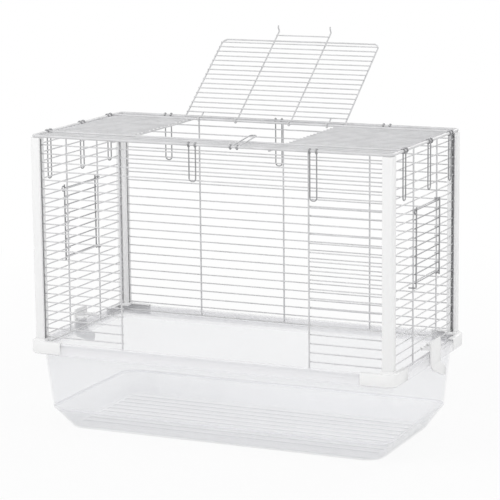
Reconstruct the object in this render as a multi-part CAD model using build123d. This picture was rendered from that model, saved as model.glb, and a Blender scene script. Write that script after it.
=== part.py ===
from build123d import *
import os

# Wire cage on a clear tray, in millimetres.
# X runs to the right, Y to the back and Z up. The origin is the middle of the tray's base.

# Overall
cage_width = 600.0
cage_depth = 302.0
rim_height = 145.0
rail_drop = 326.0

# Tray
tray_wall = 2.2
tray_floor = 2.6
base_inset = 35.0
base_corner = 28.0
break_height = 34.0
break_inset = 12.0
break_corner = 28.0
mouth_inset = 4.2
mouth_corner = 22.0
ledge_drop = 8.0
ledge_reach = 10.0
mouth_clearance = 1.0
rim_overhang = 6.0
rim_corner = 16.0
rim_skirt = 19.0
rim_edge_round = 0.8
floor_rib_pitch = 11.0
floor_rib_width = 1.6
floor_rib_height = 0.8

# Corner fittings and posts
fitting_wall = 1.5
fitting_arm = 48.0
fitting_drop = 17.0
fitting_clearance = 0.2
collar_height = 3.5
post_size = 16.0
post_wall = 1.8
post_corner = 5.0
post_cap = 2.0
post_clearance = 0.2
slot_clearance = 0.4

# Wires
row_wire = 2.0
upright_wire = 2.6
rail_wire = 4.5
rail_corner = 8.0
cross_wire = 3.0
edge_wire = 3.5
hinge_wire = 4.0
weld_depth = 0.3
rail_weld = 0.6
wire_tip = 1.5
running_clearance = 0.08
seat_clearance = 0.1
free_clearance = 0.5

# Upright wire panels
upright_inset = 6.0
rail_inset = 2.6
row_count = 24
rows_over_doorway = 4
doorway_left = 152.0
doorway_right = 466.0
back_uprights = 3
side_door_front = 105.0
side_door_rear = 208.0
side_door_top_row = 7
side_door_bottom_row = 15

# Top panel
top_gaps = 22
strip_row = 4
hinge_row = 20
opening_left = 143.0
opening_right = 404.0

# Lid over the top opening
lid_wire = 2.5
lid_overlap = 10.0
lid_spaced_rows = 17
lid_first_row = 7.0
lid_length = 197.0
lid_last_gap = 9.0
lid_corner = 10.0
lid_brace = 12.0
lid_outer_eye = 28.0
lid_eye_curl = 275.0
lid_open_angle = 143.5
hook_gap = 3.0
hook_drop = 4.0
hook_kick = 3.0
hook_bend = 2.5

# Side doors
door_stile_wire = 2.4
door_ring_wire = 2.2
door_standoff = 4.9
door_ring_gap = 3.0
door_gaps = 8
door_tab_radius = 4.0
door_hook_reach = 6.0
door_hook_drop = 3.9
door_hook_gap = 0.6
door_hook_bend = 1.4

# Clips on the top rail
clip_wire = 2.0
clip_eye_wire = 2.2
clip_span = 11.0
clip_length = 74.0
short_clip_length = 56.0
clip_bend = 4.9
clip_lying_angle = 6.0
front_clip_left = 278.0
front_clip_raised = 347.0
front_clip_right = 475.0
back_clip_left = 92.0
back_clip_middle = 291.0
back_clip_right = 478.0
side_clip_front_row = 4
side_clip_middle_row = 12
side_clip_back_row = 19

# Tray latches
latch_thickness = 3.0
latch_gap = 1.2
latch_front = 145.0
latch_width = 41.0
latch_foot = 28.0
latch_top = 20.0
latch_ankle = 18.0
latch_heel = 27.0
latch_heel_slope = 9.0
latch_sole = 47.0
latch_toe = 12.0
latch_toe_slope = 6.0
latch_round = 4.0
latch_row = 23
latch_knuckle = 6.4
latch_knuckle_width = 7.0
latch_knuckle_margin = 3.0
latch_web = 4.0
latch_catch_width = 16.0
latch_catch_height = 4.0
latch_catch_gap = 1.4
latch_catch_clearance = 0.2

# Levels and places that follow from the sizes above
half_width = cage_width / 2
half_depth = cage_depth / 2
rail_level = rim_height + rail_drop
ledge_level = rim_height - ledge_drop
bottom_wire_level = ledge_level + upright_wire / 2 + seat_clearance
row_pitch = (rail_level - bottom_wire_level) / row_count
row_inset = upright_inset + (upright_wire + row_wire) / 2 - weld_depth
row_end_inset = row_inset + row_wire / 2 + slot_clearance
stile_inset = row_end_inset + upright_wire / 2
plate_level = rim_height + fitting_wall
post_top = rail_level - rail_wire / 2 - post_clearance
cross_level = rail_level - (rail_wire + cross_wire) / 2 + rail_weld
top_row_level = cross_level + (cross_wire + row_wire) / 2 - weld_depth
edge_level = cross_level + (cross_wire + edge_wire) / 2 - weld_depth
hinge_level = cross_level + (cross_wire + hinge_wire) / 2 - weld_depth
top_pitch = (cage_depth - 2 * rail_inset) / top_gaps


def row_level(index):
    """Height of a row of the upright panels, counted down from the rail."""
    return rail_level - index * row_pitch


def top_row_place(index):
    """Y of a row of the top panel, counted back from the front rail."""
    return -half_depth + rail_inset + index * top_pitch


hinge_place = top_row_place(hinge_row)


def rod(start, end, diameter):
    """A straight wire."""
    along = Vector(*end) - Vector(*start)
    return Solid.make_cylinder(diameter / 2, along.length, Plane(origin=start, z_dir=along))


def ring(centre, axis, radius, diameter):
    """A closed wire eye."""
    return Solid.make_torus(radius, diameter / 2, Plane(origin=centre, z_dir=axis))


def swept(path, diameter):
    """A round wire along a path."""
    section = Plane(path @ 0, z_dir=path % 0) * Circle(diameter / 2)
    return sweep(section, path=path).solid()


def bent_wire(points, bend, diameter):
    """A wire with a rounded bend at each inner point."""
    return swept(FilletPolyline(*points, radius=bend), diameter)


def welded(pieces):
    """Wires joined into one body."""
    return Part() + pieces


def facing_right(shape):
    """Turn a piece that was made facing front to face right."""
    return Rot(0, 0, 90) * shape


def outline(inset, corner, level):
    """Rounded rectangle that lies inside the posts' outer faces by the inset."""
    width = cage_width - 2 * inset
    depth = cage_depth - 2 * inset
    return Pos(0, 0, level) * RectangleRounded(width, depth, corner)


def band(outer, outer_corner, inner, inner_corner, low, high):
    """Upright wall between two rounded rectangles."""
    around = extrude(outline(outer, outer_corner, low), high - low)
    return around - extrude(outline(inner, inner_corner, low), high - low)


def tray():
    """Clear tray: sloping walls, bevelled base, a ledge in the mouth and a turned-down rim."""
    shell = loft(
        [
            outline(base_inset, base_corner, 0),
            outline(break_inset, break_corner, break_height),
            outline(mouth_inset, mouth_corner, ledge_level),
        ],
        ruled=True,
    )
    floor_inset = base_inset - (base_inset - break_inset) * tray_floor / break_height
    hollow = loft(
        [
            outline(floor_inset + tray_wall, base_corner - tray_wall, tray_floor),
            outline(break_inset + tray_wall, break_corner - tray_wall, break_height),
            outline(mouth_inset + tray_wall, mouth_corner - tray_wall, ledge_level),
        ],
        ruled=True,
    )
    collar = mouth_clearance - tray_wall
    collar_corner = rim_corner - rim_overhang - collar
    throat_corner = collar_corner - tray_wall
    ledge_low = ledge_level - tray_wall
    ledge_corner = mouth_corner - (ledge_reach - mouth_inset)
    ledge = band(collar, collar_corner, ledge_reach, ledge_corner, ledge_low, ledge_level)
    throat = band(collar, collar_corner, mouth_clearance, throat_corner, ledge_low, rim_height)
    lip_low = rim_height - tray_wall
    lip = band(-rim_overhang, rim_corner, mouth_clearance, throat_corner, lip_low, rim_height)
    skirt_low = rim_height - rim_skirt
    skirt_inner = tray_wall - rim_overhang
    skirt = band(-rim_overhang, rim_corner, skirt_inner, rim_corner - tray_wall, skirt_low, rim_height)
    rim = lip + skirt
    rim = fillet(rim.edges().group_by(Axis.Z)[-1], rim_edge_round)
    margin = floor_inset + tray_wall + base_corner / 3
    rib_length = cage_width - 2 * margin
    rib_count = int((cage_depth - 2 * margin) / floor_rib_pitch)
    rib_start = -(rib_count - 1) * floor_rib_pitch / 2
    # Each rib reaches halfway down into the floor, so it is one with it.
    rib_depth = floor_rib_height + tray_floor / 2
    rib_middle = tray_floor + floor_rib_height - rib_depth / 2
    rib = Box(rib_length, floor_rib_width, rib_depth)
    ribs = [Pos(0, rib_start + index * floor_rib_pitch, rib_middle) * rib for index in range(rib_count)]
    return (shell - hollow) + [ledge, throat, rim] + ribs


def post_section(growth):
    """Front left post seen from above, grown on every side; only its outer corner is round."""
    size = post_size + 2 * growth
    place = Pos(post_size / 2 - half_width, post_size / 2 - half_depth)
    square = place * Rectangle(size, size)
    outer = square.vertices().sort_by_distance((-half_width, -half_depth, 0))[0]
    return fillet(outer, post_corner + growth)


def front_left_fitting():
    """Cap over one corner of the rim, with a collar that the post stands in."""
    inner = fitting_clearance + rim_overhang
    outer = inner + fitting_wall
    inner_corner = rim_corner + fitting_clearance
    outer_corner = inner_corner + fitting_wall
    low = rim_height - fitting_drop
    throat_corner = rim_corner - rim_overhang - mouth_clearance
    skirt = band(-outer, outer_corner, -inner, inner_corner, low, plate_level)
    plate = band(-outer, outer_corner, mouth_clearance, throat_corner, rim_height, plate_level)
    reach = fitting_arm + outer
    corner = Box(reach, reach, plate_level - low, align=Align.MIN)
    cap = (skirt + plate) & Pos(-half_width - outer, -half_depth - outer, low) * corner
    seat = extrude(post_section(post_clearance + fitting_wall), fitting_wall + collar_height)
    well = extrude(post_section(post_clearance), collar_height)
    return cap + Pos(0, 0, rim_height) * seat - Pos(0, 0, plate_level) * well


def front_left_post():
    """Hollow square post with a rounded outer corner and a slot for each wire panel."""
    slot_low = upright_inset - upright_wire / 2 - slot_clearance
    slot_width = row_end_inset - slot_low
    corner = Pos(-half_width, -half_depth)
    side_slot = corner * Pos(post_size / 2, slot_low) * Rectangle(post_size, slot_width, align=Align.MIN)
    back_slot = corner * Pos(slot_low, post_size / 2) * Rectangle(slot_width, post_size, align=Align.MIN)
    open_section = post_section(0) - post_section(-post_wall) - side_slot - back_slot
    height = post_top - plate_level
    post = extrude(open_section, height)
    post += Pos(0, 0, height - post_cap) * extrude(post_section(0), post_cap)
    return Pos(0, 0, plate_level) * post


def grille(half_span, face, uprights, rows):
    """Welded panel that faces front. Uprights are X places, rows are (level, start, end)."""
    upright_y = -face + upright_inset
    row_y = -face + row_inset
    bottom_y = upright_y + upright_wire - weld_depth
    foot = ledge_level + seat_clearance
    head = rail_level - rail_wire / 2 - free_clearance
    wires = [rod((x, upright_y, foot), (x, upright_y, head), upright_wire) for x in uprights]
    stile_low = plate_level + free_clearance
    stile_high = post_top - post_cap - free_clearance
    for x in (stile_inset - half_span, half_span - stile_inset):
        wires.append(rod((x, upright_y, stile_low), (x, upright_y, stile_high), upright_wire))
    wires += [rod((start, row_y, level), (end, row_y, level), row_wire) for level, start, end in rows]
    bottom_end = half_span - post_size - post_clearance - fitting_wall - free_clearance
    bottom_start = (-bottom_end, bottom_y, bottom_wire_level)
    wires.append(rod(bottom_start, (bottom_end, bottom_y, bottom_wire_level), upright_wire))
    return welded(wires)


def divided_rows(half_span, left, right, open_rows):
    """Rows across a panel; those in open_rows stop just past the uprights at left and right."""
    end = half_span - row_end_inset
    rows = []
    for index in range(1, row_count):
        level = row_level(index)
        if index in open_rows:
            rows.append((level, -end, left + wire_tip))
            rows.append((level, right - wire_tip, end))
        else:
            rows.append((level, -end, end))
    return rows


def front_panel():
    """Front wires, with the large doorway that is open down to the rim."""
    left = doorway_left - half_width
    right = doorway_right - half_width
    open_rows = range(rows_over_doorway + 1, row_count)
    return grille(half_width, half_depth, [left, right], divided_rows(half_width, left, right, open_rows))


def back_panel():
    """Back wires, with no doorway."""
    gap = cage_width / (back_uprights + 1)
    places = [-half_width + gap * (index + 1) for index in range(back_uprights)]
    panel = grille(half_width, half_depth, places, divided_rows(half_width, 0, 0, []))
    return mirror(panel, about=Plane.XZ)


def side_panel():
    """Right side wires, with the small doorway for the side door."""
    front = side_door_front - half_depth
    rear = side_door_rear - half_depth
    open_rows = range(side_door_top_row + 1, side_door_bottom_row)
    rows = divided_rows(half_depth, front, rear, open_rows)
    return facing_right(grille(half_depth, half_width, [front, rear], rows))


def top_panel():
    """Rail all round, two cross wires beside the opening, and rows on top of them."""
    wires = [swept(outline(rail_inset, rail_corner, rail_level).wire(), rail_wire)]
    left = opening_left - half_width
    right = opening_right - half_width
    front = -half_depth + rail_inset
    for x in (left, right):
        wires.append(rod((x, front, cross_level), (x, -front, cross_level), cross_wire))
    end = half_width - rail_inset
    for index in range(1, top_gaps):
        y = top_row_place(index)
        level, diameter = top_row_level, row_wire
        if index == strip_row:
            level, diameter = edge_level, edge_wire
        if index == hinge_row:
            level, diameter = hinge_level, hinge_wire
        spans = [(-end, end)]
        if strip_row < index < hinge_row:
            spans = [(-end, left + wire_tip), (right - wire_tip, end)]
        wires += [rod((start, y, level), (stop, y, level), diameter) for start, stop in spans]
    return welded(wires)


def top_lid():
    """Wire lid, made closed and then turned open about the hinge wire."""
    eye_radius = hinge_wire / 2 + running_clearance + lid_wire / 2
    row_rise = eye_radius - (lid_wire + row_wire) / 2 + weld_depth
    left = opening_left - lid_overlap - half_width
    right = opening_right + lid_overlap - half_width

    def on_lid(x, reach, rise):
        return (x, hinge_place - reach, hinge_level + rise)

    start = lid_first_row - row_wire
    corners = [(left, start), (left, lid_length), (right, lid_length), (right, start)]
    frame = bent_wire([on_lid(x, reach, eye_radius) for x, reach in corners], lid_corner, lid_wire)
    pieces = [frame]
    pitch = (lid_length - lid_last_gap - lid_first_row) / (lid_spaced_rows - 1)
    for index in range(lid_spaced_rows):
        reach = lid_first_row + index * pitch
        ends = (left - row_wire / 2, right + row_wire / 2)
        pieces.append(rod(on_lid(ends[0], reach, row_rise), on_lid(ends[1], reach, row_rise), row_wire))
    catch = hinge_place - top_row_place(strip_row) + (edge_wire + lid_wire) / 2 + hook_gap
    hooked = [
        (0, eye_radius),
        (catch, eye_radius),
        (catch, -hook_drop),
        (catch + hook_kick, -hook_drop - hook_kick),
    ]
    stub = [(0, eye_radius), (lid_first_row + pitch + row_wire / 2, eye_radius)]
    third = (right - left) / 3
    eyes = {left + third: hooked, right - third: hooked}
    eyes.update({left + lid_outer_eye: stub, right - lid_outer_eye: stub})
    for x, points in eyes.items():
        across = Plane(origin=on_lid(x, 0, 0), x_dir=(0, -1, 0), z_dir=(-1, 0, 0))
        curl = CenterArc((0, 0), eye_radius, lid_eye_curl - 270, -lid_eye_curl)
        leg = FilletPolyline(*points, radius=hook_bend) if len(points) > 2 else Line(*points)
        pieces.append(swept(across * Wire([*curl.edges(), *leg.edges()]), lid_wire))
    brace = lid_length + lid_brace
    brace_start = on_lid(left + third - row_wire / 2, brace, row_rise)
    pieces.append(rod(brace_start, on_lid(right - third + row_wire / 2, brace, row_rise), row_wire))
    return welded(pieces).rotate(Axis(on_lid(0, 0, 0), (1, 0, 0)), -lid_open_angle)


def side_door():
    """Small wire door on the right side, hung on the rear upright by two rings."""
    front = side_door_front - half_depth
    rear = side_door_rear - half_depth
    post_y = -half_width + upright_inset
    stile_y = post_y - door_standoff
    row_y = stile_y + (door_stile_wire + row_wire) / 2 - weld_depth
    ring_high = row_level(side_door_top_row) + door_ring_gap
    ring_low = row_level(side_door_bottom_row) - door_ring_gap
    ring_radius = upright_wire / 2 + running_clearance + door_ring_wire / 2
    rear_low = (rear, stile_y, ring_low - row_wire)
    pieces = [rod(rear_low, (rear, stile_y, ring_high + row_wire), door_stile_wire)]
    for level in (ring_low, ring_high):
        pieces.append(ring((rear, post_y, level), (0, 0, 1), ring_radius, door_ring_wire))
        pieces.append(rod((rear, post_y - ring_radius, level), (rear, stile_y, level), row_wire))
    row_high = ring_high - door_ring_gap
    row_step = (row_high - ring_low - door_ring_gap) / door_gaps
    for index in range(door_gaps + 1):
        level = row_high - index * row_step
        pieces.append(rod((front - wire_tip, row_y, level), (rear, row_y, level), row_wire))
    # The front stile ends in a hook that reaches in beside the front upright.
    hook_level = ring_low - door_hook_drop
    hook_x = front - (upright_wire + door_stile_wire) / 2 - door_hook_gap
    inner_y = post_y + door_hook_reach
    hook = [
        (front, stile_y, ring_high + row_wire),
        (front, stile_y, hook_level),
        (hook_x, stile_y, hook_level),
        (hook_x, inner_y, hook_level),
    ]
    pieces.append(bent_wire(hook, door_hook_bend, door_stile_wire))
    tab_centre = (front - door_tab_radius, stile_y, ring_high - door_tab_radius)
    pieces.append(ring(tab_centre, (0, 1, 0), door_tab_radius, row_wire))
    return facing_right(welded(pieces))


def clip(length):
    """Clip that hangs from a rail along X: two eyes and a long U."""
    eye_radius = rail_wire / 2 + running_clearance + clip_eye_wire / 2
    half_span = clip_span / 2
    points = [
        (-half_span, 0, -eye_radius),
        (-half_span, 0, -length),
        (half_span, 0, -length),
        (half_span, 0, -eye_radius),
    ]
    eyes = [ring((x, 0, 0), (1, 0, 0), eye_radius, clip_eye_wire) for x in (-half_span, half_span)]
    return welded([bent_wire(points, clip_bend, clip_wire)] + eyes)


def clips():
    """All clips by name: hung inside the front, back and side rails, and one laid over the top."""
    front_y = -half_depth + rail_inset
    side_x = half_width - rail_inset
    lying = Rot(90 + clip_lying_angle, 0, 0) * clip(clip_length)
    long_clip = clip(clip_length)
    made = {
        "front_clip_left": Pos(front_clip_left - half_width, front_y, rail_level) * clip(short_clip_length),
        "front_clip_raised": Pos(front_clip_raised - half_width, front_y, rail_level) * lying,
        "front_clip_right": Pos(front_clip_right - half_width, front_y, rail_level) * long_clip,
    }
    back_places = {"left": back_clip_left, "middle": back_clip_middle, "right": back_clip_right}
    for place, x in back_places.items():
        made["back_clip_" + place] = Pos(x - half_width, -front_y, rail_level) * Rot(0, 0, 180) * long_clip
    side_rows = {"front": side_clip_front_row, "middle": side_clip_middle_row, "back": side_clip_back_row}
    for place, index in side_rows.items():
        right = Pos(side_x, top_row_place(index), rail_level) * facing_right(long_clip)
        made["right_clip_" + place] = right
        made["left_clip_" + place] = mirror(right, about=Plane.YZ)
    return made


def latch():
    """Boot-shaped lever on the right side that turns on a low row and catches under the rim."""
    front = latch_front - half_depth
    rear = front + latch_width
    toe = rear + latch_foot
    points = [
        (front, rim_height + latch_top),
        (rear, rim_height + latch_top),
        (rear, rim_height - latch_ankle),
        (toe, rim_height - latch_sole + latch_toe),
        (toe - latch_toe_slope, rim_height - latch_sole),
        (front + latch_heel_slope, rim_height - latch_heel),
        (front, rim_height - latch_heel + latch_heel_slope),
    ]
    boot = make_face(Polyline(*points, close=True))
    boot = fillet(boot.vertices(), latch_round)
    inner_face = half_width + rim_overhang + latch_gap
    plate = extrude(Plane.XZ.offset(inner_face) * boot, latch_thickness)
    axis_y = -half_width + row_inset
    axis_z = row_level(latch_row)
    web_depth = inner_face + axis_y + latch_gap / 2
    pieces = [plate]
    half_knuckle = latch_knuckle_width / 2
    for x in (front + latch_knuckle_margin + half_knuckle, rear - latch_knuckle_margin - half_knuckle):
        barrel_start = (x - half_knuckle, axis_y, axis_z)
        pieces.append(rod(barrel_start, (x + half_knuckle, axis_y, axis_z), latch_knuckle))
        web = Box(latch_knuckle_width, web_depth, latch_web, align=(Align.CENTER, Align.MAX, Align.CENTER))
        pieces.append(Pos(x, axis_y, axis_z) * web)
    catch_top = rim_height - rim_skirt - latch_catch_gap
    catch_depth = latch_gap + tray_wall - latch_catch_clearance
    hung = (Align.CENTER, Align.MIN, Align.MAX)
    catch = Box(latch_catch_width, catch_depth, latch_catch_height, align=hung)
    pieces.append(Pos((front + rear) / 2, -inner_face, catch_top) * catch)
    body = welded(pieces)
    bore_start = (front, axis_y, axis_z)
    bore = rod(bore_start, (rear, axis_y, axis_z), row_wire + 2 * running_clearance)
    return facing_right(body - bore)


def mirrored_corners(name, shape):
    """The piece for each of the four corners, from the one at the front left."""
    right = mirror(shape, about=Plane.YZ)
    return {
        name + "_front_left": shape,
        name + "_front_right": right,
        name + "_back_left": mirror(shape, about=Plane.XZ),
        name + "_back_right": mirror(right, about=Plane.XZ),
    }


def mirrored_sides(name, shape):
    """The right and left piece of a pair, from the one on the right."""
    return {"right_" + name: shape, "left_" + name: mirror(shape, about=Plane.YZ)}


parts = {"base_tray": tray(), "front_panel": front_panel(), "back_panel": back_panel()}
parts.update({"top_panel": top_panel(), "top_lid": top_lid()})
parts.update(mirrored_corners("corner_fitting", front_left_fitting()))
parts.update(mirrored_corners("corner_post", front_left_post()))
parts.update(mirrored_sides("panel", side_panel()))
parts.update(mirrored_sides("door", side_door()))
parts.update(mirrored_sides("latch", latch()))
parts.update(clips())

os.makedirs("parts", exist_ok=True)
for node, shape in parts.items():
    export_step(shape, "parts/" + node + ".step")
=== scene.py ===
import math

import bmesh
import bpy
from bpy.props import BoolProperty, FloatProperty, FloatVectorProperty, IntProperty, PointerProperty
from mathutils import Matrix, Vector


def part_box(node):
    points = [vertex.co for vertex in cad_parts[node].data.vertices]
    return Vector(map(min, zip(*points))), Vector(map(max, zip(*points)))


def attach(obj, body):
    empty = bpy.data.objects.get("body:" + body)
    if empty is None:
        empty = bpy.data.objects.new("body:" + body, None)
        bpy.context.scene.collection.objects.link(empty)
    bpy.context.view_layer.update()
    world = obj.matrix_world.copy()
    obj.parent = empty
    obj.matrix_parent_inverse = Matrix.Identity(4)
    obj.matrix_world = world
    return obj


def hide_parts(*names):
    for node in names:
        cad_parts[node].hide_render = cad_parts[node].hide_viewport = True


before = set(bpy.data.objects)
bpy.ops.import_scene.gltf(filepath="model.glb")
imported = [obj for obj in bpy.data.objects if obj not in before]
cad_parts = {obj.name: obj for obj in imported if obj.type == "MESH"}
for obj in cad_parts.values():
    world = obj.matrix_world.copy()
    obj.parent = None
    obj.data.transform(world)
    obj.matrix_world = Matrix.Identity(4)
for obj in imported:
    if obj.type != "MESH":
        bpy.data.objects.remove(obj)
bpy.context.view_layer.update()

bl_info = {
    "name": "Wire Pet Cage",
    "version": (1, 0, 0),
    "blender": (4, 5, 0),
    "location": "3D View > Sidebar > Cage",
    "description": "Dresses the frame of a wire pet cage: clear tray, white plastic and coated wire",
    "category": "Object",
}

ROOT = "cage"
CORNERS = ("front_left", "front_right", "back_left", "back_right")
LATCHES = ("left_latch", "right_latch")

# Small distances in metres
MERGE = 0.00001
SAME_LEVEL = 0.0001
SOFT_EDGE = 0.0004
LATCH_EDGE = 0.0005


# Materials

class Nodes:
    """Short way to add and join the nodes of one material."""

    def __init__(self, name):
        self.material = bpy.data.materials.new(name)
        self.material.use_nodes = True
        self.tree = self.material.node_tree
        self.tree.nodes.clear()
        self.output = self.add("ShaderNodeOutputMaterial")
        self.shader = self.add("ShaderNodeBsdfPrincipled")
        self.link(self.shader.outputs["BSDF"], self.output.inputs["Surface"])
        self.place = self.add("ShaderNodeTexCoord").outputs["Object"]

    def add(self, kind, **values):
        node = self.tree.nodes.new(kind)
        for key, value in values.items():
            if hasattr(node, key):
                setattr(node, key, value)
            else:
                node.inputs[key].default_value = value
        return node

    def link(self, start, end):
        self.tree.links.new(start, end)

    def set(self, **values):
        for key, value in values.items():
            self.shader.inputs[key.replace("_", " ")].default_value = value

    def noise(self, scale, detail=4.0, stretch=(1.0, 1.0, 1.0)):
        """Noise in the piece's own metres, stretched along an axis."""
        mapping = self.add("ShaderNodeMapping")
        mapping.inputs["Scale"].default_value = stretch
        self.link(self.place, mapping.inputs["Vector"])
        node = self.add("ShaderNodeTexNoise", Scale=scale, Detail=detail)
        self.link(mapping.outputs["Vector"], node.inputs["Vector"])
        return node.outputs["Fac"]

    def ramp(self, factor, stops):
        """Colour ramp from (position, colour) stops."""
        node = self.add("ShaderNodeValToRGB")
        elements = node.color_ramp.elements
        while len(elements) < len(stops):
            elements.new(0.5)
        for element, (position, color) in zip(elements, stops):
            element.position = position
            element.color = (*color, 1.0)
        self.link(factor, node.inputs["Fac"])
        return node.outputs["Color"]

    def span(self, factor, low, high):
        """Factor mapped from 0..1 to low..high."""
        node = self.add("ShaderNodeMapRange")
        node.inputs["To Min"].default_value = low
        node.inputs["To Max"].default_value = high
        self.link(factor, node.inputs["Value"])
        return node.outputs["Result"]

    def height(self, low, high):
        """Height above the floor in metres, mapped from low..high to 0..1."""
        axes = self.add("ShaderNodeSeparateXYZ")
        self.link(self.place, axes.inputs["Vector"])
        node = self.add("ShaderNodeMapRange")
        node.inputs["From Min"].default_value = low
        node.inputs["From Max"].default_value = high
        self.link(axes.outputs["Z"], node.inputs["Value"])
        return node.outputs["Result"]

    def bump(self, height, strength, distance):
        node = self.add("ShaderNodeBump", Strength=strength, Distance=distance)
        self.link(height, node.inputs["Height"])
        self.link(node.outputs["Normal"], self.shader.inputs["Normal"])


def shade(color, factor):
    """The colour made lighter or darker."""
    return tuple(min(1.0, channel * factor) for channel in color)


def grey(level):
    """An even grey of the given level."""
    return (level, level, level)


def coated_wire(color):
    """White powder-coated steel: even sheen, faint ripples and slightly duller patches."""
    nodes = Nodes("coated_wire")
    patches = nodes.noise(38.0, 3.0)
    tint = nodes.ramp(patches, [(0.3, shade(color, 0.9)), (0.55, color), (0.8, shade(color, 1.06))])
    nodes.link(tint, nodes.shader.inputs["Base Color"])
    nodes.link(nodes.span(nodes.noise(160.0, 5.0), 0.24, 0.44), nodes.shader.inputs["Roughness"])
    nodes.set(Metallic=0.0, Coat_Weight=0.35, Coat_Roughness=0.18)
    nodes.bump(nodes.noise(900.0, 4.0), 0.25, 0.0002)
    return nodes.material


def white_plastic(color):
    """White moulded plastic: fine grain, soft gloss and a faint flow of shade along the part."""
    nodes = Nodes("white_plastic")
    flow = nodes.noise(9.0, 3.0, (1.0, 1.0, 0.25))
    tint = nodes.ramp(flow, [(0.3, shade(color, 0.95)), (0.6, color), (0.85, shade(color, 1.03))])
    nodes.link(tint, nodes.shader.inputs["Base Color"])
    nodes.link(nodes.span(nodes.noise(220.0, 5.0), 0.3, 0.46), nodes.shader.inputs["Roughness"])
    nodes.set(Coat_Weight=0.15, Coat_Roughness=0.25)
    nodes.bump(nodes.noise(1400.0, 3.0), 0.12, 0.0002)
    return nodes.material


def plated_wire(color):
    """Bright zinc-plated steel, for the doors and the clips."""
    nodes = Nodes("plated_wire")
    patches = nodes.noise(60.0, 4.0)
    tint = nodes.ramp(patches, [(0.3, shade(color, 0.8)), (0.6, color), (0.85, shade(color, 1.15))])
    nodes.link(tint, nodes.shader.inputs["Base Color"])
    nodes.link(nodes.span(nodes.noise(300.0, 5.0), 0.2, 0.42), nodes.shader.inputs["Roughness"])
    nodes.set(Metallic=0.85)
    nodes.bump(nodes.noise(1100.0, 3.0), 0.2, 0.0002)
    return nodes.material


def clear_plastic(color, haze, sizes, rim):
    """Clear moulded plastic: thin walls, a painted highlight along the bend line, painted shade that greys
    the base, and a rim painted whiter and more opaque.
    """
    nodes = Nodes("clear_plastic")
    bend = sizes.break_height / rim
    line = sizes.bend_line / rim
    floor = sizes.wall / rim
    lip = 1.0 - sizes.rim_skirt / rim
    level = nodes.height(0.0, rim)
    # base is the tray's base and bevel darkened with painted shade; bright is a painted highlight along the
    # bend line and also the whiter colour of the rim.
    base, wall, bright = shade(color, 0.9), color, (0.98, 0.98, 1.0)
    tint = nodes.ramp(level, [
        (floor, base), (bend - line, shade(color, 0.92)), (bend, bright), (bend + line, wall),
        (lip - line, wall), (lip, bright), (1.0, bright),
    ])
    nodes.link(tint, nodes.shader.inputs["Base Color"])
    # Alpha by height: nearly opaque at the bend line for the painted highlight, more opaque at the base for
    # painted shade, and more opaque at the rim.
    veil = nodes.ramp(level, [
        (floor, grey(haze * 1.7)), (bend - line, grey(haze * 1.3)), (bend, grey(haze * 4.5)),
        (bend + line, grey(haze)), (lip - line, grey(haze)), (lip, grey(haze * 2.0)), (1.0, grey(haze * 2.2)),
    ])
    flow = nodes.span(nodes.noise(7.0, 4.0, (0.5, 0.5, 2.2)), 0.8, 1.2)
    cover = nodes.add("ShaderNodeMath", operation="MULTIPLY")
    nodes.link(veil, cover.inputs[0])
    nodes.link(flow, cover.inputs[1])
    nodes.link(cover.outputs[0], nodes.shader.inputs["Alpha"])
    scuffs = nodes.noise(55.0, 8.0, (0.6, 0.6, 3.0))
    nodes.link(nodes.span(scuffs, 0.08, 0.22), nodes.shader.inputs["Roughness"])
    nodes.set(IOR=1.49, Coat_Weight=0.6, Coat_Roughness=0.06)
    nodes.bump(nodes.noise(30.0, 3.0), 0.15, 0.0012)
    return nodes.material


def shared_plastic(context):
    """The one white plastic that posts, fittings and latches have in common."""
    return bpy.data.materials.get("white_plastic") or white_plastic(context.scene.cage_colors.plastic)


def finish_with(piece, material):
    piece.data.materials.clear()
    piece.data.materials.append(material)


# Mesh helpers

def piece_from(bm, name, body, material, smooth_angle=35.0):
    """Turn a bmesh into a finished piece that rides on a body."""
    bmesh.ops.recalc_face_normals(bm, faces=bm.faces)
    mesh = bpy.data.meshes.new(name)
    bm.to_mesh(mesh)
    bm.free()
    mesh.shade_smooth()
    mesh.set_sharp_from_angle(angle=math.radians(smooth_angle))
    piece = bpy.data.objects.new(name, mesh)
    bpy.context.scene.collection.objects.link(piece)
    finish_with(piece, material)
    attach(piece, body)
    return piece


def rounded_plate(bm, width, depth, corner, level, segments):
    """Flat rounded rectangle. Returns its outline's edges."""
    made = bmesh.ops.create_grid(bm, x_segments=1, y_segments=1, size=0.5)
    corners = made["verts"]
    bmesh.ops.scale(bm, vec=(width, depth, 1.0), verts=corners)
    bmesh.ops.translate(bm, vec=(0.0, 0.0, level), verts=corners)
    bmesh.ops.bevel(
        bm, geom=corners, offset=corner, offset_type="OFFSET", segments=segments,
        profile=0.5, affect="VERTICES", material=-1,
    )
    return list(bm.edges)


def next_ring(bm, edges, old, new):
    """Draw the open outline on from one rounded rectangle to the next, corner by corner."""
    made = bmesh.ops.extrude_edge_only(bm, edges=edges)["geom"]
    verts = [item for item in made if isinstance(item, bmesh.types.BMVert)]
    for side in (-1.0, 1.0):
        for end in (-1.0, 1.0):
            corner = [vert for vert in verts if vert.co.x * side > 0.0 and vert.co.y * end > 0.0]
            centres = []
            for width, depth, radius, level in (old, new):
                centres.append(Vector((side * (width / 2.0 - radius), end * (depth / 2.0 - radius), level)))
            grow = new[2] / old[2]
            bmesh.ops.translate(bm, vec=-centres[0], verts=corner)
            bmesh.ops.scale(bm, vec=(grow, grow, 1.0), verts=corner)
            bmesh.ops.translate(bm, vec=centres[1], verts=corner)
    fresh = set(verts)
    return [
        item for item in made
        if isinstance(item, bmesh.types.BMEdge) and item.verts[0] in fresh and item.verts[1] in fresh
    ]


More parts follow.
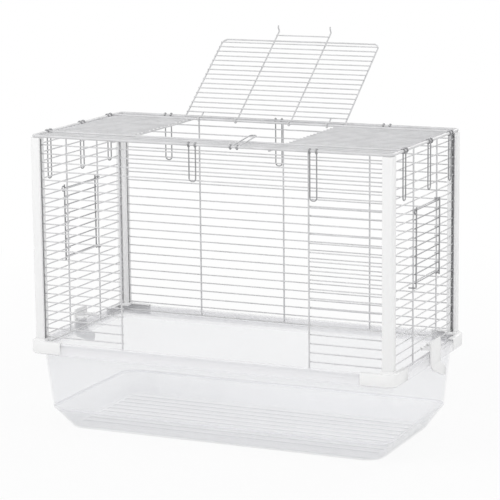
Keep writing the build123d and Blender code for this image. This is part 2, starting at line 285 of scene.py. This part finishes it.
def ring_stack(bm, rings, segments):
    """Closed skin through rounded rectangles given as (width, depth, corner, level)."""
    edges = rounded_plate(bm, *rings[0], segments)
    for old, new in zip(rings, rings[1:]):
        edges = next_ring(bm, edges, old, new)
    bmesh.ops.contextual_create(bm, geom=edges)


def rounded_copy(bm, width, segments=2, angle=30.0):
    """Round every edge that is sharper than the angle."""
    sharp = [
        edge for edge in bm.edges
        if edge.is_manifold and edge.calc_face_angle(0.0) > math.radians(angle)
    ]
    bmesh.ops.bevel(
        bm, geom=sharp, offset=width, offset_type="OFFSET", segments=segments,
        profile=0.5, affect="EDGES", clamp_overlap=True, material=-1,
    )


def merged_node(name):
    """A CAD node's mesh with its loose triangles joined and its flat faces made whole."""
    bm = bmesh.new()
    bm.from_mesh(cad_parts[name].data)
    bmesh.ops.remove_doubles(bm, verts=bm.verts, dist=MERGE)
    bmesh.ops.dissolve_limit(
        bm, angle_limit=math.radians(1.0), verts=bm.verts, edges=bm.edges, use_dissolve_boundaries=False
    )
    return bm


# Sizes and colours

class CageColors(bpy.types.PropertyGroup):
    wire: FloatVectorProperty(
        name="Wire", description="Coating of the wires", subtype="COLOR", size=3,
        default=(0.68, 0.68, 0.69), min=0.0, max=1.0,
    )
    plated: FloatVectorProperty(
        name="Plated wire", description="Zinc-plated wire of the doors and clips", subtype="COLOR", size=3,
        default=(0.4, 0.4, 0.41), min=0.0, max=1.0,
    )
    plastic: FloatVectorProperty(
        name="Plastic", description="Posts, corner fittings and latches", subtype="COLOR", size=3,
        default=(0.86, 0.87, 0.89), min=0.0, max=1.0,
    )
    clear: FloatVectorProperty(
        name="Clear plastic", description="Tint of the tray", subtype="COLOR", size=3,
        default=(0.86, 0.87, 0.91), min=0.0, max=1.0,
    )
    haze: FloatProperty(
        name="Haze", description="How much one face of the tray's wall veils what is behind it",
        default=0.15, min=0.0, max=0.25, subtype="FACTOR",
    )
    floor: FloatVectorProperty(
        name="Floor", description="Floor under the cage", subtype="COLOR", size=3,
        default=(0.9, 0.9, 0.9), min=0.0, max=1.0,
    )


class TraySizes(bpy.types.PropertyGroup):
    wall: FloatProperty(
        name="Wall", description="Thickness of the tray's wall", default=0.0022, unit="LENGTH",
    )
    base_inset: FloatProperty(
        name="Base inset", description="From the cage's outer faces in to the tray's base",
        default=0.035, unit="LENGTH",
    )
    break_inset: FloatProperty(
        name="Break inset", description="From the cage's outer faces in to the wall's lower edge",
        default=0.012, unit="LENGTH",
    )
    break_height: FloatProperty(
        name="Break height", description="Height of the wall's lower edge", default=0.034, unit="LENGTH",
    )
    # The bright line along the wall's lower edge is a painted highlight.
    bend_line: FloatProperty(
        name="Bend line", description="Half width of the bright line along the wall's lower edge",
        default=0.002, unit="LENGTH",
    )
    mouth_inset: FloatProperty(
        name="Mouth inset", description="From the cage's outer faces in to the wall's top",
        default=0.0042, unit="LENGTH",
    )
    ledge_drop: FloatProperty(
        name="Ledge drop", description="Depth of the ledge below the rim", default=0.008, unit="LENGTH",
    )
    ledge_reach: FloatProperty(
        name="Ledge reach", description="How far in the ledge comes", default=0.01, unit="LENGTH",
    )
    base_corner: FloatProperty(
        name="Base corner", description="Radius of the base's and the wall's lower corners",
        default=0.028, unit="LENGTH",
    )
    mouth_corner: FloatProperty(
        name="Mouth corner", description="Radius of the wall's top corners", default=0.022, unit="LENGTH",
    )
    rim_corner: FloatProperty(
        name="Rim corner", description="Radius of the rim's corners", default=0.016, unit="LENGTH",
    )
    mouth_clearance: FloatProperty(
        name="Mouth clearance", description="From the cage's outer faces in to the rim's opening",
        default=0.001, unit="LENGTH",
    )
    floor: FloatProperty(
        name="Floor", description="Thickness of the tray's floor", default=0.0026, unit="LENGTH",
    )
    floor_spread: FloatProperty(
        name="Floor spread", description="How far the floor reaches out up the sloping base",
        default=0.0018, unit="LENGTH",
    )
    edge_round: FloatProperty(
        name="Edge round", description="Rounding of the tray's long edges", default=0.0009, unit="LENGTH",
    )
    rib_margin: FloatProperty(
        name="Rib margin", description="Bare floor round the ribs", default=0.012, unit="LENGTH",
    )
    rim_skirt: FloatProperty(
        name="Rim skirt", description="Height of the turned-down rim", default=0.019, unit="LENGTH",
    )
    rim_overhang: FloatProperty(
        name="Rim overhang", description="How far the rim stands out", default=0.006, unit="LENGTH",
    )
    corner_segments: IntProperty(
        name="Corner segments", description="Faces round each corner", default=9, min=2, max=24,
    )
    rib_pitch: FloatProperty(
        name="Rib pitch", description="Spacing of the floor's ribs", default=0.021, unit="LENGTH",
    )
    rib_width: FloatProperty(
        name="Rib width", description="Width of each floor rib", default=0.007, unit="LENGTH",
    )
    rib_height: FloatProperty(
        name="Rib height", description="Height of each floor rib", default=0.0016, unit="LENGTH",
    )


class StageSizes(bpy.types.PropertyGroup):
    place: FloatVectorProperty(
        name="Camera place", description="Where the camera stands", subtype="TRANSLATION", size=3,
        default=(1.4283, -3.1492, 0.9466), unit="LENGTH",
    )
    turn: FloatProperty(
        name="Turn", description="Camera's turn to the left", default=0.424489, unit="ROTATION",
    )
    dip: FloatProperty(name="Dip", description="Camera's downward tilt", default=0.189039, unit="ROTATION")
    roll: FloatProperty(name="Roll", description="Camera's roll", default=-0.009485, unit="ROTATION")
    lens: FloatProperty(name="Lens", description="Focal length in millimetres", default=161.3)
    show_floor: BoolProperty(name="Floor", description="Put a pale floor under the cage", default=True)


# Operators

class CAGE_OT_wires(bpy.types.Operator):
    """Give the wire panels and lid their white coating, and the doors and clips their zinc plating"""

    bl_idname = "cage.wires"
    bl_label = "Wires"

    def execute(self, context):
        colors = context.scene.cage_colors
        coated = coated_wire(colors.wire)
        plated = plated_wire(colors.plated)
        for name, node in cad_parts.items():
            if name.startswith("corner") or name in LATCHES or name == "base_tray":
                continue
            finish_with(node, plated if "clip" in name or name.endswith("door") else coated)
        return {"FINISHED"}


class CAGE_OT_posts(bpy.types.Operator):
    """Make the hollow corner posts with softened edges"""

    bl_idname = "cage.posts"
    bl_label = "Corner posts"

    def execute(self, context):
        material = shared_plastic(context)
        for corner in CORNERS:
            node = "corner_post_" + corner
            bm = merged_node(node)
            rounded_copy(bm, SOFT_EDGE)
            post = piece_from(bm, "post_" + corner, ROOT, material)
            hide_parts(node)
        return {"FINISHED"}


class CAGE_OT_fittings(bpy.types.Operator):
    """Make the corner fittings that cap the rim"""

    bl_idname = "cage.fittings"
    bl_label = "Corner fittings"

    def execute(self, context):
        material = shared_plastic(context)
        for corner in CORNERS:
            node = "corner_fitting_" + corner
            bm = merged_node(node)
            rounded_copy(bm, SOFT_EDGE)
            fitting = piece_from(bm, "fitting_" + corner, ROOT, material)
            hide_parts(node)
        return {"FINISHED"}


class CAGE_OT_latches(bpy.types.Operator):
    """Make the two boot-shaped latches"""

    bl_idname = "cage.latches"
    bl_label = "Latches"

    def execute(self, context):
        material = shared_plastic(context)
        for node in LATCHES:
            bm = merged_node(node)
            rounded_copy(bm, LATCH_EDGE)
            lever = piece_from(bm, node + "_lever", node + "_body", material)
            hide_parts(node)
        return {"FINISHED"}


class CAGE_OT_tray(bpy.types.Operator):
    """Make the clear tray with its ribbed floor, ledge and turned-down rim"""

    bl_idname = "cage.tray"
    bl_label = "Tray"

    def execute(self, context):
        sizes = context.scene.cage_tray
        colors = context.scene.cage_colors
        low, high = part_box("base_tray")
        length = high.x - low.x - 2.0 * sizes.rim_overhang
        depth = high.y - low.y - 2.0 * sizes.rim_overhang
        rim = high.z
        wall = sizes.wall
        ledge = rim - sizes.ledge_drop
        opening = sizes.mouth_clearance
        out = sizes.rim_overhang
        skirt = rim - sizes.rim_skirt
        mouth_corner = sizes.mouth_corner

        def ring(inset, corner, level):
            return (length - 2.0 * inset, depth - 2.0 * inset, corner, level)

        def rim_ring(inset, level):
            return ring(inset, sizes.rim_corner - out - inset, level)

        def ledge_ring(level):
            return ring(sizes.ledge_reach, mouth_corner + sizes.mouth_inset - sizes.ledge_reach, level)

        rings = [
            ring(sizes.base_inset, sizes.base_corner, 0.0),
            ring(sizes.break_inset, sizes.base_corner, sizes.break_height),
            ring(sizes.mouth_inset, mouth_corner, ledge - wall),
            rim_ring(opening - wall, ledge - wall),
            rim_ring(opening - wall, rim - wall),
            rim_ring(wall - out, rim - wall),
            rim_ring(wall - out, skirt),
            rim_ring(-out, skirt),
            rim_ring(-out, rim),
            rim_ring(opening, rim),
            rim_ring(opening, ledge),
            ledge_ring(ledge),
            ledge_ring(ledge - wall),
            ring(sizes.mouth_inset + wall, mouth_corner - wall, ledge - wall),
            ring(sizes.break_inset + wall, sizes.base_corner - wall, sizes.break_height),
            ring(sizes.base_inset + wall - sizes.floor_spread, sizes.base_corner - wall, sizes.floor),
        ]
        bm = bmesh.new()
        ring_stack(bm, rings, sizes.corner_segments)
        bmesh.ops.remove_doubles(bm, verts=bm.verts, dist=MERGE)
        bmesh.ops.recalc_face_normals(bm, faces=bm.faces)
        self.add_ribs(bm, sizes)
        self.round_edges(bm, sizes)
        material = clear_plastic(colors.clear, colors.haze, sizes, rim)
        tray = piece_from(bm, "clear_tray", ROOT, material)
        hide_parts("base_tray")
        return {"FINISHED"}

    def add_ribs(self, bm, sizes):
        """Cut the floor into strips and raise every other one."""
        floor = max((face for face in bm.faces if face.normal.z > 0.9), key=lambda face: face.calc_area())
        level = floor.calc_center_median().z
        half_length = max(abs(vert.co.x) for vert in floor.verts) - sizes.rib_margin
        half_depth = max(abs(vert.co.y) for vert in floor.verts) - sizes.rib_margin
        count = int(2.0 * half_depth / sizes.rib_pitch)
        first = -(count - 1) * sizes.rib_pitch / 2.0
        cuts = [((x, 0.0, 0.0), (1.0, 0.0, 0.0)) for x in (-half_length, half_length)]
        middles = [first + index * sizes.rib_pitch for index in range(count)]
        for middle in middles:
            for side in (-0.5, 0.5):
                cuts.append(((0.0, middle + side * sizes.rib_width, 0.0), (0.0, 1.0, 0.0)))
        for place, normal in cuts:
            on_floor = [
                face for face in bm.faces
                if face.normal.z > 0.9 and abs(face.calc_center_median().z - level) < SAME_LEVEL
            ]
            edges = {edge for face in on_floor for edge in face.edges}
            verts = {vert for face in on_floor for vert in face.verts}
            bmesh.ops.bisect_plane(
                bm, geom=on_floor + list(edges) + list(verts), dist=0.000001,
                plane_co=place, plane_no=normal,
            )
        strips = []
        for face in bm.faces:
            middle = face.calc_center_median()
            if abs(middle.z - level) > SAME_LEVEL or face.normal.z < 0.9 or abs(middle.x) > half_length:
                continue
            if min(abs(middle.y - place) for place in middles) < sizes.rib_width / 4.0:
                strips.append(face)
        raised = bmesh.ops.extrude_discrete_faces(bm, faces=strips)["faces"]
        tops = {vert for face in raised for vert in face.verts}
        bmesh.ops.translate(bm, vec=(0.0, 0.0, sizes.rib_height), verts=list(tops))

    def round_edges(self, bm, sizes):
        """Soften the tray's long level edges, but not those of the floor and its ribs."""
        floor_low, floor_high = 0.002, 0.02
        long_edges = [
            edge for edge in bm.edges
            if edge.is_manifold
            and edge.calc_face_angle(0.0) > math.radians(25.0)
            and abs(edge.verts[0].co.z - edge.verts[1].co.z) < MERGE
            and not floor_low < edge.verts[0].co.z < floor_high
        ]
        bmesh.ops.bevel(
            bm, geom=long_edges, offset=sizes.edge_round, offset_type="OFFSET", segments=3,
            profile=0.5, affect="EDGES", clamp_overlap=True, material=-1,
        )


class CAGE_OT_stage(bpy.types.Operator):
    """Set up the pale floor, soft lamps and camera"""

    bl_idname = "cage.stage"
    bl_label = "Stage"

    def execute(self, context):
        scene = context.scene
        sizes = scene.cage_stage
        scene.view_settings.view_transform = "Standard"
        if sizes.show_floor:
            self.add_floor(scene)
        self.light_world(scene)
        self.add_lamp("key_lamp", (-1.6, -2.2, 2.4), 2.4, 44.0)
        self.add_lamp("side_lamp", (2.6, -0.9, 1.5), 2.0, 20.0)
        self.add_lamp("back_lamp", (0.4, 2.4, 2.2), 2.2, 20.0)
        camera = bpy.data.objects.new("camera", bpy.data.cameras.new("camera"))
        camera.data.lens = sizes.lens
        camera.data.sensor_width = 36.0
        camera.data.clip_end = 50.0
        turn = Matrix.Rotation(sizes.turn, 4, "Z")
        tilt = Matrix.Rotation(math.pi / 2.0 - sizes.dip, 4, "X")
        roll = Matrix.Rotation(sizes.roll, 4, "Z")
        camera.matrix_world = Matrix.Translation(sizes.place) @ turn @ tilt @ roll
        scene.collection.objects.link(camera)
        scene.camera = camera
        return {"FINISHED"}

    def add_floor(self, scene):
        bm = bmesh.new()
        bmesh.ops.create_grid(bm, x_segments=1, y_segments=1, size=6.0)
        mesh = bpy.data.meshes.new("floor")
        bm.to_mesh(mesh)
        bm.free()
        floor = bpy.data.objects.new("floor", mesh)
        scene.collection.objects.link(floor)
        nodes = Nodes("pale_floor")
        nodes.set(Base_Color=(*scene.cage_colors.floor, 1.0), Roughness=0.9)
        glow = nodes.add("ShaderNodeEmission", Strength=1.0)
        mix = nodes.add("ShaderNodeMixShader")
        rays = nodes.add("ShaderNodeLightPath")
        far = nodes.add("ShaderNodeVectorMath", operation="LENGTH")
        nodes.link(nodes.place, far.inputs[0])
        fade = nodes.add("ShaderNodeMapRange")
        for key, value in (("From Min", 0.5), ("From Max", 1.6), ("To Min", 0.86), ("To Max", 1.0)):
            fade.inputs[key].default_value = value
        nodes.link(far.outputs["Value"], fade.inputs["Value"])
        share = nodes.add("ShaderNodeMath", operation="MULTIPLY")
        nodes.link(fade.outputs["Result"], share.inputs[1])
        nodes.link(rays.outputs["Is Camera Ray"], share.inputs[0])
        nodes.link(share.outputs[0], mix.inputs["Fac"])
        nodes.link(nodes.shader.outputs["BSDF"], mix.inputs[1])
        nodes.link(glow.outputs["Emission"], mix.inputs[2])
        nodes.link(mix.outputs["Shader"], nodes.output.inputs["Surface"])
        floor.data.materials.append(nodes.material)

    def light_world(self, scene):
        """White behind everything, and a soft even light on the cage."""
        world = bpy.data.worlds.new("studio")
        scene.world = world
        world.use_nodes = True
        tree = world.node_tree
        tree.nodes.clear()
        output = tree.nodes.new("ShaderNodeOutputWorld")
        mix = tree.nodes.new("ShaderNodeMixShader")
        for index, strength in enumerate((0.55, 1.0)):
            light = tree.nodes.new("ShaderNodeBackground")
            light.inputs["Color"].default_value = (1.0, 1.0, 1.0, 1.0)
            light.inputs["Strength"].default_value = strength
            tree.links.new(light.outputs["Background"], mix.inputs[index + 1])
        rays = tree.nodes.new("ShaderNodeLightPath")
        seen = rays.outputs["Is Camera Ray"]
        for kind in ("Is Transmission Ray", "Is Glossy Ray"):
            either = tree.nodes.new("ShaderNodeMath")
            either.operation = "MAXIMUM"
            tree.links.new(seen, either.inputs[0])
            tree.links.new(rays.outputs[kind], either.inputs[1])
            seen = either.outputs[0]
        tree.links.new(seen, mix.inputs["Fac"])
        tree.links.new(mix.outputs["Shader"], output.inputs["Surface"])

    def add_lamp(self, name, place, size, power):
        lamp = bpy.data.objects.new(name, bpy.data.lights.new(name, "AREA"))
        lamp.data.shape = "SQUARE"
        lamp.data.size = size
        lamp.data.energy = power
        aim = Vector((0.0, 0.0, 0.25)) - Vector(place)
        lamp.matrix_world = Matrix.Translation(place) @ aim.to_track_quat("-Z", "Y").to_matrix().to_4x4()
        bpy.context.scene.collection.objects.link(lamp)


class CAGE_PT_panel(bpy.types.Panel):
    """Cage tools"""

    bl_label = "Wire Pet Cage"
    bl_idname = "CAGE_PT_panel"
    bl_space_type = "VIEW_3D"
    bl_region_type = "UI"
    bl_category = "Cage"

    def draw(self, context):
        for operator in OPERATORS:
            self.layout.operator(operator.bl_idname)
        for group in (context.scene.cage_colors, context.scene.cage_tray, context.scene.cage_stage):
            for name in group.__annotations__:
                self.layout.prop(group, name)


GROUPS = {"cage_colors": CageColors, "cage_tray": TraySizes, "cage_stage": StageSizes}
OPERATORS = (CAGE_OT_stage, CAGE_OT_wires, CAGE_OT_tray, CAGE_OT_fittings, CAGE_OT_posts, CAGE_OT_latches)


def register():
    for group in (*GROUPS.values(), *OPERATORS, CAGE_PT_panel):
        bpy.utils.register_class(group)
    for name, group in GROUPS.items():
        setattr(bpy.types.Scene, name, PointerProperty(type=group))


def unregister():
    for name in GROUPS:
        delattr(bpy.types.Scene, name)
    for group in reversed((*GROUPS.values(), *OPERATORS, CAGE_PT_panel)):
        bpy.utils.unregister_class(group)


def main():
    register()
    for operator in OPERATORS:
        space, name = operator.bl_idname.split(".")
        getattr(getattr(bpy.ops, space), name)()


if __name__ == "__main__":
    main()
